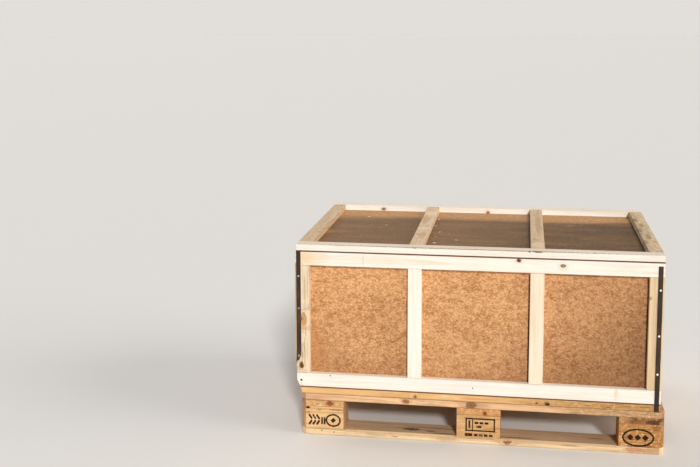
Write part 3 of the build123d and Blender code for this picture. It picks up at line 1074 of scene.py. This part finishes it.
# What sets single timbers apart, as the photograph shows them
ORANGE = (240, 190, 122)
CHANGES = {
    "front_head": {
        "stains": on_front(20, (-585, 622, 95, 45, ORANGE, 0.30), (-600, 616, 55, 30, ORANGE, 0.35))
        + on_front(10, (-387, 613, 1.6, 34, (208, 170, 124), 0.6)),
    },
    "front_sill": {
        "stains": on_front(
            10,
            (443.6, 198, 8, 26, ORANGE, 0.4),
            (-600, 190.6, 4.8, 4.6, (28, 18, 12), 1.0),
        ),
        "edge": tone(150, 104, 62),
    },
    "front_post_1": {
        "pale": tone(237, 217, 185),
        "late": tone(134, 90, 52),
        "knot_colour": tone(212, 160, 98),
        "ring": 0.0042,
        "contrast": 0.40,
        "figure": 0.5,
        "wander": 0.010,
        "taper": 1.6,
        "pith_away": 0.034,
        "stains": on_front(
            10,
            (-576.8, 535, 1.6, 85, (190, 142, 96), 0.75),
            (-585.2, 505, 1.8, 60, (186, 140, 90), 0.70),
            (-593.0, 560, 1.4, 45, (196, 150, 104), 0.65),
            (-583.5, 365, 1.6, 40, (190, 144, 92), 0.65),
            (-588.5, 310, 1.8, 36, (186, 138, 86), 0.70),
            (-577.0, 300, 1.5, 50, (196, 150, 100), 0.65),
            (-594.5, 276, 1.8, 20, (176, 124, 70), 0.75),
            (-587.2, 262, 1.6, 26, (184, 134, 80), 0.70),
            (-590.0, 226, 10, 1.6, (176, 128, 76), 0.60),
            (-594.5, 386, 10, 34, (214, 158, 92), 0.55),
            (-597.0, 405, 4, 8, (150, 78, 44), 0.7),
            (-599.0, 242.5, 5.2, 9, (52, 34, 18), 0.85),
        ),
    },
    "front_post_3": {"contrast": 0.35, "figure": 0.25, "pale": tone(248, 228, 202)},
    "front_post_4": {"pale": tone(228, 202, 164), "late": tone(176, 128, 82)},
    "lid_rail_front": {
        "nails": lid_nails(FRONT_Y + RAIL_NAILS_IN),
        "marks": 0.28,
        "spills": on_front(4.6, (-15, 662, 640, 2.2, (120, 96, 74), 0.75))
        + on_front(
            6,
            (185, 660.5, 18, 3.0, (40, 30, 22), 0.95),
            (158, 660.5, 4, 3.0, (60, 46, 34), 0.9),
            (-216, 661, 8, 2.6, (96, 76, 58), 0.85),
        ),
    },
    "lid_rail_back": {"nails": lid_nails(BACK_Y - RAIL_NAILS_IN), "pale": tone(255, 252, 246)},
    "lid_cross_2": {
        "pale": tone(246, 218, 184),
        "spills": on_top(
            LID_TOP,
            20,
            (-215, 215, 40, 50, (250, 228, 194), 0.5),
            (-222, 80, 18, 90, (190, 152, 108), 0.5),
            (-215, -75, 40, 22, (250, 226, 190), 0.5),
            (-210, -190, 14, 80, (186, 150, 106), 0.4),
        ),
    },
    "lid_cross_3": {
        "spills": on_top(
            LID_TOP,
            20,
            (178, -222, 20, 3.5, (110, 84, 54), 0.8),
            (186, -300, 26, 55, (240, 214, 174), 0.6),
            (190, 50, 12, 200, (166, 134, 94), 0.4),
        ),
    },
    "lid_cross_4": {
        "marks": 0.85,
        "grime": tone(112, 96, 70),
        "mottle": 0.9,
        "aged": (-2.0, -1.0, 0.80, tone(232, 204, 164)),
        "spills": on_top(
            LID_TOP,
            20,
            (529, -50, 42, 600, (104, 84, 56), 0.18),
            (545, 188, 13, 36, (106, 84, 54), 0.55),
            (560, 85, 12, 40, (112, 88, 58), 0.50),
            (545, 0, 10, 46, (104, 82, 52), 0.55),
            (562, -110, 11, 60, (110, 86, 56), 0.50),
            (543, -200, 10, 40, (114, 90, 60), 0.50),
        ),
    },
    "floor_rail_front": {
        "aged": (0.10, 0.80, 0.75, tone(176, 132, 74)),
        "mottle": 0.04,
        "foot": (0.1445, 0.1480, 0.75),
        "knot_colour": tone(150, 92, 48),
        "stains": on_front(
            10,
            (225.3, 150.0, 8.5, 5.6, (56, 26, 17), 0.95),
            (189.6, 151.7, 3.8, 3, (84, 50, 28), 0.8),
            (-210.5, 152.0, 1.6, 7, (136, 84, 44), 0.8),
        ),
    },
    "pallet_deck_1": {
        "contrast": 0.8,
        "aged": (0.25, 0.75, 0.72, tone(172, 134, 90)),
        "mottle": 0.06,
        "foot": (0.1225, 0.1250, 0.6),
        "knot_colour": tone(160, 100, 60),
    },
    "pallet_cross_left": {"stains": on_front(10, (-501.5, 112.5, 14.5, 10.5, (150, 64, 48), 0.85))},
    "pallet_cross_mid": {
        "pale": tone(228, 172, 112),
        "stains": on_front(10, (21.5, 107.5, 9, 9, (128, 54, 36), 0.75)),
    },
    "pallet_cross_right": {
        "aged": (0.10, 0.85, 0.60, tone(136, 84, 44)),
        "knot_colour": tone(120, 60, 36),
        "stains": on_front(20, (540, 108, 60, 14, (122, 74, 42), 0.6))
        + on_front(10, (563, 106, 26, 12, (78, 44, 26), 0.8))
        + on_front(20, (590, 116, 18, 10, (66, 38, 24), 0.8)),
    },
    "pallet_skid_front": {
        "contrast": 0.8,
        "stains": on_front(
            20,
            (505, 12, 36, 12, (186, 108, 76), 0.6),
            (-100, 10, 50, 8, (172, 124, 84), 0.4),
            (-293, 19, 12, 4, (160, 100, 70), 0.7),
            (-279, 9, 14, 3, (166, 108, 76), 0.6),
            (-228, 18, 18, 4, (170, 112, 80), 0.6),
            (-530, 16, 3, 3, (120, 76, 44), 0.8),
            (-488, 12, 3, 3, (110, 66, 36), 0.8),
            (300, 14, 40, 3, (128, 88, 58), 0.5),
            (565, 10, 55, 16, (176, 132, 84), 0.6),
            (420, 6, 110, 4, (204, 160, 108), 0.5),
        ),
        "spills": on_top(
            SKID_TOP,
            10,
            (-225, -360, 34, 14, (72, 52, 38), 0.8),
            (-160, -368, 20, 8, (96, 70, 50), 0.6),
        )
        + on_top(
            SKID_TOP,
            4,
            (-260, -396, 240, 8, (232, 198, 156), 0.8),
            (250, -398, 200, 6, (214, 180, 138), 0.6),
        ),
    },
    "pallet_blocks_front": {
        "scorches": block_marks(),
        "aged": (-0.15, 0.75, 0.85, tone(178, 120, 62)),
        "stains": on_front(
            10,
            (-578, 95.0, 8, 5.2, (24, 17, 12), 1.0),
            (-478, 90.5, 28, 1.7, (40, 26, 18), 0.9),
            (-577, 78.0, 7, 5, (176, 112, 62), 0.7),
            (-538, 88.5, 9, 4.5, (186, 124, 72), 0.7),
            (-452, 86.0, 6, 9, (196, 140, 88), 0.6),
            (530, 24, 45, 7, (122, 72, 42), 0.7),
        )
        + on_front(
            20,
            (575, 88, 18, 12, (134, 78, 42), 0.6),
            (452, 80, 12, 18, (160, 96, 54), 0.5),
        ),
    },
}

# Knots on the photographed side: X, Z and radius in millimetres, darkness, length over width
FRONT_KNOTS = {
    "front_post_1": [(-590.5, 405, 8.5, 0.42, 2.6), (-598.5, 243, 6.6, 0.9, 1.7)],
    "front_post_2": [],
    "front_post_3": [],
    "front_post_4": [(541, 521, 3.4, 0.4, 1.4)],
    "front_head": [(124.3, 630.0, 4.6, 1.0, 1.5), (265.9, 617.6, 5.0, 0.8, 1.6)],
    "front_sill": [],
    "floor_rail_front": [
        (223.6, 152.0, 6.0, 1.0, 1.4),
        (189.6, 152.0, 3.4, 0.8, 1.4),
        (-211.8, 151.5, 4.0, 0.5, 1.4),
        (342.4, 163.0, 2.8, 0.9, 1.4),
    ],
    "lid_rail_front": [],
    "lid_rail_back": [(-416, 648, 4.8, 0.8, 1.6), (-1, 644.4, 4.6, 0.7, 1.4)],
    "pallet_deck_1": [(-242.1, 134, 6.6, 0.45, 1.7), (-24.9, 133, 9.2, 0.6, 2.0)],
    "pallet_cross_left": [(-501.5, 113, 7.0, 0.4, 1.2)],
    "pallet_cross_mid": [(21.8, 106, 5.6, 0.8, 1.2)],
    "pallet_cross_right": [(501.2, 112.1, 11.5, 0.82, 1.3), (566, 104, 7.5, 0.9, 1.7)],
    "pallet_skid_front": [(96.9, 15.0, 9.0, 0.75, 1.5)],
    "pallet_blocks_front": [],
}


def knots_of(name):
    """A timber's knots: those of the photographed side, or a few chance ones."""
    low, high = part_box(name)
    if name in FRONT_KNOTS:
        y = LID_INNER_Y if name == "lid_rail_back" else low.y
        rows = FRONT_KNOTS[name]
        return [((x * MM, y, z * MM), radius * MM, *rest) for x, z, radius, *rest in rows]
    chance = random.Random(name)
    face = outward_face(name)
    axis = max(range(3), key=lambda i: abs(face[i]))
    is_long = (high - low).length > 0.6
    margin = (high - low) * 0.12
    knots = []
    for _ in range(chance.choice((1, 1, 2) if is_long else (0, 1))):
        spot = [chance.uniform(a, b) for a, b in zip(low + margin, high - margin)]
        spot[axis] = high[axis] if face[axis] > 0 else low[axis]
        size = chance.uniform(0.005, 0.010)
        knots.append((tuple(spot), size, chance.uniform(0.4, 0.9), chance.uniform(1.2, 1.9)))
    return knots


def weathered_streaks(name):
    """Dark and pale streaks along the grain on top of a skid, as soft stains."""
    low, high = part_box(name)
    chance = random.Random(name)
    count = 14
    streaks = []
    for number in range(count):
        size = (chance.uniform(0.025, 0.100), chance.uniform(0.0025, 0.0075), 0.008)
        spot = [chance.uniform(a + b, c - b) for a, b, c in zip(low.xy, size, high.xy)]
        colour = tone(92, 72, 52) if number % 3 else tone(214, 184, 148)
        streaks.append(((*spot, high.z), size, colour, chance.uniform(0.45, 0.75)))
    return streaks


# Pieces


class CRATE_OT_timber(bpy.types.Operator):
    """Finish the crate's battens and the pallet's boards and blocks"""

    bl_idname = "crate.timber"
    bl_label = "Timber"

    def execute(self, context):
        for name in sorted(NODES):
            if name.startswith("strip") or name.endswith("panel"):
                continue
            on_pallet = name.startswith("pallet")
            group = context.scene.pallet_timber if on_pallet else context.scene.crate_timber
            key, look = next((key, look) for word, key, look in LOOKS if word in name)
            look = {
                "ring": group.ring,
                "scorch": tuple(context.scene.pallet_timber.scorch),
                "knots": knots_of(name),
                **(PALLET_LOOK if on_pallet else CRATE_LOOK),
                **look,
                **CHANGES.get(name, {}),
            }
            if name.startswith("pallet_skid"):
                look["spills"] = weathered_streaks(name) + look.get("spills", [])
            pale = look.pop("pale", getattr(group, key))
            late = look.pop("late", getattr(group, key + "_grain"))
            variation = 0.07 if on_pallet else 0.04
            dress_timber(name, pale, late, variation, look)
        return {"FINISHED"}


class CRATE_OT_sheets(bpy.types.Operator):
    """Finish the hardboard sheets"""

    bl_idname = "crate.sheets"
    bl_label = "Hardboard Sheets"

    # Half width, depth and half height of the painted shadow beside a post and under the top rail,
    # and of a darker patch
    POST_DIRT = (0.0046, 0.02, 0.26)
    RAIL_DIRT = (0.72, 0.02, 0.0040)
    PATCH_DIRT = (0.070, 0.02, 0.110)
    PATCH_X = -0.565
    PATCH_Z = 0.290
    # Half width, half length and depth of the painted shadow beside a cross batten of the lid
    BATTEN_DIRT = (0.0055, 0.42, 0.01)
    # How far to the left of a post or a batten the middle of its painted shadow lies
    POST_GAP = 0.0008
    BATTEN_GAP = 0.001
    # The walls' painted shade, darker towards the right and the bottom: where it starts and where
    # it is full, its strength and its tint
    SHADE = (-0.50, 0.42, 0.85, (0.36, 0.31, 0.27))
    # The lid's dust: how dark it is on the right, where it is partly darker dust and partly painted
    # shade, its strength, and where it thins out at the back
    FAR_DUST = 0.38
    DUST_STRENGTH = 1.0
    BARE = (0.17, 0.27)

    def wall_dirt(self):
        """Painted shadows along the battens: left of three posts and under the top rail, and one
        darker patch.
        """
        foot, top = (corner.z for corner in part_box("front_post_2"))
        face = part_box("front_panel")[0].y
        posts = [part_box("front_post_" + number)[0].x for number in "234"]
        seams = [((x - self.POST_GAP, face, (foot + top) / 2), self.POST_DIRT) for x in posts]
        seams.append((((LEFT_X + RIGHT_X) / 2, face, top), self.RAIL_DIRT))
        # The lines are painted shadow in a dark brown
        dirt = [(*shadow_place, tone(44, 30, 20), 0.95) for shadow_place in seams]
        patch = (self.PATCH_X, face, self.PATCH_Z)
        dirt.append((patch, self.PATCH_DIRT, tone(176, 112, 62), 0.40))
        return dirt

    def lid_dirt(self):
        """Painted shadows left of three cross battens of the lid."""
        lefts = [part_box("lid_cross_" + number)[0].x - self.BATTEN_GAP for number in "234"]
        return [((x, 0, SHEET_TOP), self.BATTEN_DIRT, tone(40, 28, 20), 0.85) for x in lefts]

    def execute(self, context):
        sheet = context.scene.crate_sheets
        edge = tuple(sheet.board_edge)
        wall = (tuple(sheet.board), tuple(sheet.board_dark), edge)
        for seed, (side, thin) in enumerate(zip(("front", "back", "left", "right"), "YYXX")):
            look = {"seed": seed, "shade": self.SHADE}
            if side == "front":
                look.update(seams=self.wall_dirt(), rubs=0.03)
            name = side + "_panel"
            dress(name, sheet_material(name + "_fibre", *wall, thin, **look))
        dress("floor_panel", sheet_material("floor_panel_fibre", *wall, "Z", seed=5))
        board, dust = tuple(sheet.lid_board), tuple(sheet.lid_dust)
        look = {"seed": 6, "strength": 0.8, "gloss": 0.05, "seams": self.lid_dirt()}
        far_dust = darker(dust, self.FAR_DUST)
        look["dust"] = (dust, far_dust, self.DUST_STRENGTH, self.BARE)
        lid = sheet_material("lid_panel_fibre", board, darker(board, 0.45), edge, "Z", **look)
        dress("lid_panel", lid)
        return {"FINISHED"}


def nail_on(points, direction, source, chance, lean=0.05):
    """Copies of a nail head at points, each a little askew."""
    heads = []
    for point in points:
        askew = Vector(direction) + Vector([chance.uniform(-lean, lean) for _ in range(3)])
        matrix = Matrix.Translation(point) @ outward(askew)
        heads.append(placed_copy(source, "head", matrix))
    return heads


class CRATE_OT_strips(bpy.types.Operator):
    """Finish the steel strips and nail them on"""

    bl_idname = "crate.strips"
    bl_label = "Strips and Strip Nails"

    BACK_LEVELS = (0.560, 0.431, 0.301, 0.176)
    LEVELS = {
        "strip_front_left": (0.552, 0.441, 0.278),
        "strip_front_right": (0.548, 0.397, 0.270),
        "strip_back_left": BACK_LEVELS,
        "strip_back_right": BACK_LEVELS,
    }
    HEAD_HEIGHT = 0.0014
    STRAY = 0.001
    LEAN = 0.08
    # A Y well outside the long walls, from which a strip's outer face is looked for
    OUTSIDE = 0.45

    def execute(self, context):
        steel = context.scene.crate_steel
        rust = tuple(steel.rust)
        strip = steel_material("strip_steel_rolled", tuple(steel.strip), rust, 0.35)
        bright = steel_material("strip_nail_bright", tuple(steel.nail), rust, 0.12, 0.6)
        dull = steel_material("strip_nail_dull", tone(158, 154, 146), rust, 0.3, 0.5)
        master = model_nail(steel.head_radius, self.HEAD_HEIGHT)
        chance = random.Random(41)
        for name, levels in self.LEVELS.items():
            dress(name, strip)
            low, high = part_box(name)
            side = 1 if low.y > 0 else -1
            heads = []
            for z in levels:
                x = (low.x + high.x) / 2 + chance.uniform(-self.STRAY, self.STRAY)
                outside = (x, side * self.OUTSIDE, z)
                found, place, _, _ = NODES[name].closest_point_on_mesh(outside)
                if not found:
                    raise RuntimeError("no strip surface for a nail on " + name)
                heads += nail_on([(x, place.y, z)], (0, side, 0), master, chance, self.LEAN)
            finish = dull if name == "strip_front_left" else bright
            join_as("nails_" + name, heads, finish, "strip_steel")
        bpy.data.objects.remove(master)
        return {"FINISHED"}


class CRATE_OT_nails(bpy.types.Operator):
    """Nail heads of the frames and of the pallet"""

    bl_idname = "crate.nails"
    bl_label = "Frame and Pallet Nails"

    # Loose nails at the upper left corner: height, how far they stand out, and direction
    LOOSE = ((0.6195, 0.0076, (-1, 0.05, 0.12)), (0.6030, 0.0070, (-1, -0.08, -0.10)))
    # Single nails on the front and on the back: X and Z
    FRONT = ((-0.0202, 0.1922), (-0.4996, 0.2105))
    BACK = ((0.180, 0.195), (-0.260, 0.206), (-0.420, 0.608))
    BACK_LEVELS = (0.182, 0.205, 0.600, 0.624)
    # End walls: Y and Z
    END_PLACES = (-0.345, -0.300, 0.305, 0.350)
    END_LEVELS = (0.200, 0.612)
    BLOCK_MIDDLES = (-0.528, 0.0, 0.528)
    # Under each block: X from its middle, and Y as a share of the skid's width
    SKID_SPOTS = ((-0.040, -0.28), (0.036, -0.24), (-0.004, 0.04), (-0.038, 0.27), (0.041, 0.25))
    SKID_HEAD_Z = 0.0005
    # Radius and height of the skids' heads and of the loose nails' heads
    SKID_HEAD = (0.0035, 0.0004)
    LOOSE_HEAD = (0.0029, 0.0012)
    LOOSE_SHANK = 0.013
    # How far the loose nails lie behind the front
    LOOSE_DEPTH = 0.010
    PIN_HEIGHT = 0.0006
    STRAY = 0.004
    BACK_STRAY = 0.001

    def execute(self, context):
        steel = context.scene.crate_steel
        rust = tuple(steel.rust)
        dull = steel_material("frame_nail_dull", tone(120, 112, 104), rust, 0.5, 0.6)
        bright = steel_material("loose_nail_bright", tuple(steel.nail), rust, 0.2, 0.5)
        old = steel_material("pallet_nail_old", tone(96, 88, 80), rust, 0.9, 0.5)
        chance = random.Random(77)
        pin = model_nail(steel.pin_radius, self.PIN_HEIGHT)
        wide = model_nail(*self.SKID_HEAD)
        long_nail = model_nail(*self.LOOSE_HEAD, shank=self.LOOSE_SHANK)

        loose = []
        for z, reach, lean in self.LOOSE:
            point = (LEFT_X - reach, FRONT_Y + self.LOOSE_DEPTH, z)
            loose += nail_on([point], lean, long_nail, chance)
        join_as("nails_loose", loose, bright, "strip_steel")

        def nail_down(name, points, direction, source=pin, finish=dull):
            """Nail heads at points as one piece."""
            heads = nail_on(points, direction, source, chance)
            join_as("nails_" + name, heads, finish, "strip_steel")

        nail_down("front", [(x, FRONT_Y, z) for x, z in self.FRONT], (0, -1, 0))

        back = [(x, BACK_Y, z) for x, z in self.BACK]
        for x in (LEFT_X + END_MARGIN, RIGHT_X - END_MARGIN):
            for z in self.BACK_LEVELS:
                stray = chance.uniform(-self.BACK_STRAY, self.BACK_STRAY)
                back.append((x + stray, BACK_Y, z))
        nail_down("back", back, (0, 1, 0))

        for side, x, outside in (("left", LEFT_X, -1), ("right", RIGHT_X, 1)):
            points = [
                (x, y + chance.uniform(-self.STRAY, self.STRAY), z)
                for y in self.END_PLACES
                for z in self.END_LEVELS
            ]
            nail_down(side, points, (outside, 0, 0))

        for row in ("front", "mid", "back"):
            low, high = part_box("pallet_skid_" + row)
            middle, width = (low.y + high.y) / 2, high.y - low.y
            points = []
            for block_x in self.BLOCK_MIDDLES:
                for dx, share in self.SKID_SPOTS:
                    x = block_x + dx + chance.uniform(-self.STRAY, self.STRAY)
                    points.append((x, middle + share * width, self.SKID_HEAD_Z))
            nail_down("skid_" + row, points, (0, 0, -1), wide, old)
        for master in (pin, wide, long_nail):
            bpy.data.objects.remove(master)
        return {"FINISHED"}


def splinter_at(name, length, width, seed, matrix):
    """Model one sliver and give back its copy in its place."""
    master = model_splinter(length, width, seed)
    made = placed_copy(master, name, matrix)
    bpy.data.objects.remove(master)
    return made


class CRATE_OT_splinters(bpy.types.Operator):
    """Torn slivers at the worn front left foot and chips that lie on the lid"""

    bl_idname = "crate.splinters"
    bl_label = "Splinters"

    # X from the crate's left end, height, length, width, lean and seed
    SLIVERS = (
        (0.0040, 0.214, 0.026, 0.0026, (0.10, -0.05, 1), 8),
        (0.0100, 0.196, 0.018, 0.0030, (-0.12, -0.10, 1), 15),
        (0.0175, 0.172, 0.016, 0.0028, (-0.20, -0.05, 1), 21),
    )
    # How far the slivers' roots lie before the wall's front face
    SLIVER_GAP = 0.0006
    # The height that is taken as the middle of their wood
    GRAIN_HEIGHT = 0.25
    # Least and most width and length of a chip
    CHIP_WIDTHS = (0.0026, 0.0038)
    CHIP_LENGTHS = (0.007, 0.012)
    # How high the middle of a chip lies over the sheet, as a share of its width
    CHIP_RISE = 0.33
    # X and Y on the lid
    CHIPS = (
        (-0.4534, 0.2269),
        (-0.4214, 0.0694),
        (-0.3672, 0.0716),
        (-0.1817, 0.2072),
        (-0.1625, -0.0357),
        (-0.1921, 0.2755),
        (-0.1676, -0.1196),
        (-0.1697, -0.2200),
        (-0.1801, 0.0781),
        (-0.0978, -0.1597),
    )

    def execute(self, context):
        wood = context.scene.crate_timber
        pale, late = tuple(wood.rail), tuple(wood.post_grain)
        look = look_of(0.6, 0.5, 0.4, axis="Z", seed=5, face=(0, -1, 0), ring=wood.ring)
        look.update(centre=(LEFT_X, FRONT_Y, self.GRAIN_HEIGHT), fibre=0.6, heart=late)
        look.update(end_mix=0.3, edge_mix=0.0, grime=tone(110, 82, 56), scuff=pale)
        material = timber_material("splinter_wood", pale, late, look)

        slivers = []
        for x, z, length, width, lean, seed in self.SLIVERS:
            root = (LEFT_X + x, FRONT_Y - self.SLIVER_GAP, z)
            matrix = Matrix.Translation(root) @ outward(lean)
            slivers.append(splinter_at("sliver", length, width, seed, matrix))
        join_as("foot_splinters", slivers, material, "rail_wood")

        chance = random.Random(12)
        chips = []
        for seed, (x, y) in enumerate(self.CHIPS, start=30):
            width = chance.uniform(*self.CHIP_WIDTHS)
            length = chance.uniform(*self.CHIP_LENGTHS)
            turn = chance.uniform(0, math.tau)
            lie = outward((math.cos(turn), math.sin(turn), 0))
            matrix = Matrix.Translation((x, y, SHEET_TOP + width * self.CHIP_RISE)) @ lie
            chips.append(splinter_at("chip", length, width, seed, matrix))
        join_as("lid_chips", chips, material, "rail_wood")
        return {"FINISHED"}


# Stage

# The camera that took the photograph, in metres and degrees
CAMERA_PLACE = (0.1321, -3.8740, 1.4356)
CAMERA_AZIMUTH = -9.189
CAMERA_ELEVATION = 7.341
CAMERA_ROLL = -0.172
# The photograph in pixels: its width, its middle row and the row of the lens axis
PICTURE_WIDTH = 700
MIDDLE_ROW = 233.5
AXIS_ROW = 150
SENSOR_WIDTH = 36
FAR_CLIP = 200
FLOOR_RADIUS = 60
FLOOR_Z = -0.0004
LAMP_DISTANCE = 3
# Each lamp: name, direction from the crate, colour, and softness unless the settings give it
LAMPS = (
    ("key", (0.28, -1.0, 0.52), (1.0, 0.99, 0.975), None),
    ("side", (1.0, -0.12, 0.38), (1.0, 0.93, 0.84), math.radians(40)),
    ("fill", (-0.7, 1.0, 0.6), (0.98, 0.99, 1.0), math.radians(80)),
)


def camera_turn():
    """The camera's turn from its heading, its tilt and its roll."""
    azimuth = math.radians(CAMERA_AZIMUTH)
    tilt = math.radians(CAMERA_ELEVATION)
    across, deep = math.sin(azimuth), math.cos(azimuth)
    ahead = Vector((across * math.cos(tilt), deep * math.cos(tilt), -math.sin(tilt)))
    right = Vector((deep, -across, 0))
    level = Matrix((right, right.cross(ahead), -ahead)).transposed()
    return (level @ Matrix.Rotation(math.radians(CAMERA_ROLL), 3, "Z")).to_euler()


class CRATE_OT_stage(bpy.types.Operator):
    """Floor, lamps and camera"""

    bl_idname = "crate.stage"
    bl_label = "Stage"

    @staticmethod
    def add_floor(stage):
        """A plain round floor just under the pallet."""
        deselect_all()
        bpy.ops.mesh.primitive_circle_add(
            vertices=64, radius=FLOOR_RADIUS, fill_type="NGON", location=(0, 0, FLOOR_Z)
        )
        floor = bpy.context.active_object
        floor.name = "studio_floor"
        paint = Finish("studio_floor_paint")
        paint.set("Base Color", tuple(stage.floor))
        paint.set("Roughness", 0.9)
        paint.set("Specular IOR Level", 0.1)
        floor.data.materials.append(paint.material)
        floor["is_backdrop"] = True

    @staticmethod
    def add_sky(stage, scene):
        """Even light all round, in front of a background that matches the floor."""
        world = scene.world = bpy.data.worlds.new("studio_light")
        world.use_nodes = True
        tree = world.node_tree
        tree.nodes.clear()
        rays = node(tree, "LightPath").outputs
        kinds = [Wire(rays[f"Is {kind} Ray"]) for kind in ("Camera", "Glossy", "Transmission")]
        seen = functools.reduce(Wire.most, kinds)
        light = add(tree, "Background", Color=(1, 0.99, 0.975), Strength=stage.sky_strength)
        shown = add(tree, "Background", Color=tone(226, 222, 217), Strength=1.0)
        node(tree, "OutputWorld", Surface=add(tree, "MixShader", seen, light, shown))

    @staticmethod
    def add_lamps(stage, scene):
        """Three suns: in front, warm from the right, and cool from behind."""
        for kind, source, colour, softness in LAMPS:
            data = bpy.data.lights.new(kind + "_lamp", "SUN")
            data.energy = getattr(stage, kind + "_strength")
            data.angle = stage.key_softness if softness is None else softness
            data.color = colour
            lamp = bpy.data.objects.new(kind + "_lamp", data)
            lamp.rotation_euler = Vector(source).to_track_quat("Z", "Y").to_euler()
            lamp.location = Vector(source) * LAMP_DISTANCE
            scene.collection.objects.link(lamp)

    @staticmethod
    def add_camera(stage, scene):
        """The camera of the photograph."""
        data = bpy.data.cameras.new("photo_camera")
        data.lens = stage.lens
        data.sensor_width = SENSOR_WIDTH
        data.clip_end = FAR_CLIP
        data.shift_y = (AXIS_ROW - MIDDLE_ROW) / PICTURE_WIDTH
        camera = bpy.data.objects.new("photo_camera", data)
        camera.location = CAMERA_PLACE
        camera.rotation_euler = camera_turn()
        scene.collection.objects.link(camera)
        scene.camera = camera
        scene.view_settings.view_transform = "Standard"

    def execute(self, context):
        stage = context.scene.crate_stage
        self.add_floor(stage)
        self.add_sky(stage, context.scene)
        self.add_lamps(stage, context.scene)
        self.add_camera(stage, context.scene)
        return {"FINISHED"}


class CRATE_PT_panel(bpy.types.Panel):
    """The crate's settings and steps"""

    bl_idname = "CRATE_PT_panel"
    bl_label = "Crate on a Pallet"
    bl_space_type = "VIEW_3D"
    bl_region_type = "UI"
    bl_category = "Crate"

    def draw(self, context):
        for name, settings in SETTINGS.items():
            box = self.layout.box()
            box.label(text=name.replace("_", " ").capitalize())
            for label in settings.__annotations__:
                box.prop(getattr(context.scene, name), label)
        for step in STEPS:
            self.layout.operator(step.bl_idname)


STEPS = (
    CRATE_OT_timber,
    CRATE_OT_sheets,
    CRATE_OT_strips,
    CRATE_OT_nails,
    CRATE_OT_splinters,
    CRATE_OT_stage,
)
SETTINGS = {
    "crate_timber": CrateTimberSettings,
    "pallet_timber": PalletTimberSettings,
    "crate_sheets": SheetSettings,
    "crate_steel": SteelSettings,
    "crate_stage": StageSettings,
}


def register():
    for name, settings in SETTINGS.items():
        bpy.utils.register_class(settings)
        setattr(bpy.types.Scene, name, bpy.props.PointerProperty(type=settings))
    for step in STEPS:
        bpy.utils.register_class(step)
    bpy.utils.register_class(CRATE_PT_panel)


def unregister():
    bpy.utils.unregister_class(CRATE_PT_panel)
    for step in reversed(STEPS):
        bpy.utils.unregister_class(step)
    for name, settings in reversed(SETTINGS.items()):
        delattr(bpy.types.Scene, name)
        bpy.utils.unregister_class(settings)


def main():
    """Register the classes, run each step in order and work out the visual bounds."""
    register()
    bpy.ops.crate.timber()
    bpy.ops.crate.sheets()
    bpy.ops.crate.strips()
    bpy.ops.crate.nails()
    bpy.ops.crate.splinters()
    bpy.ops.crate.stage()
    visual = [list(corner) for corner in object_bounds()]


if __name__ == "__main__":
    main()
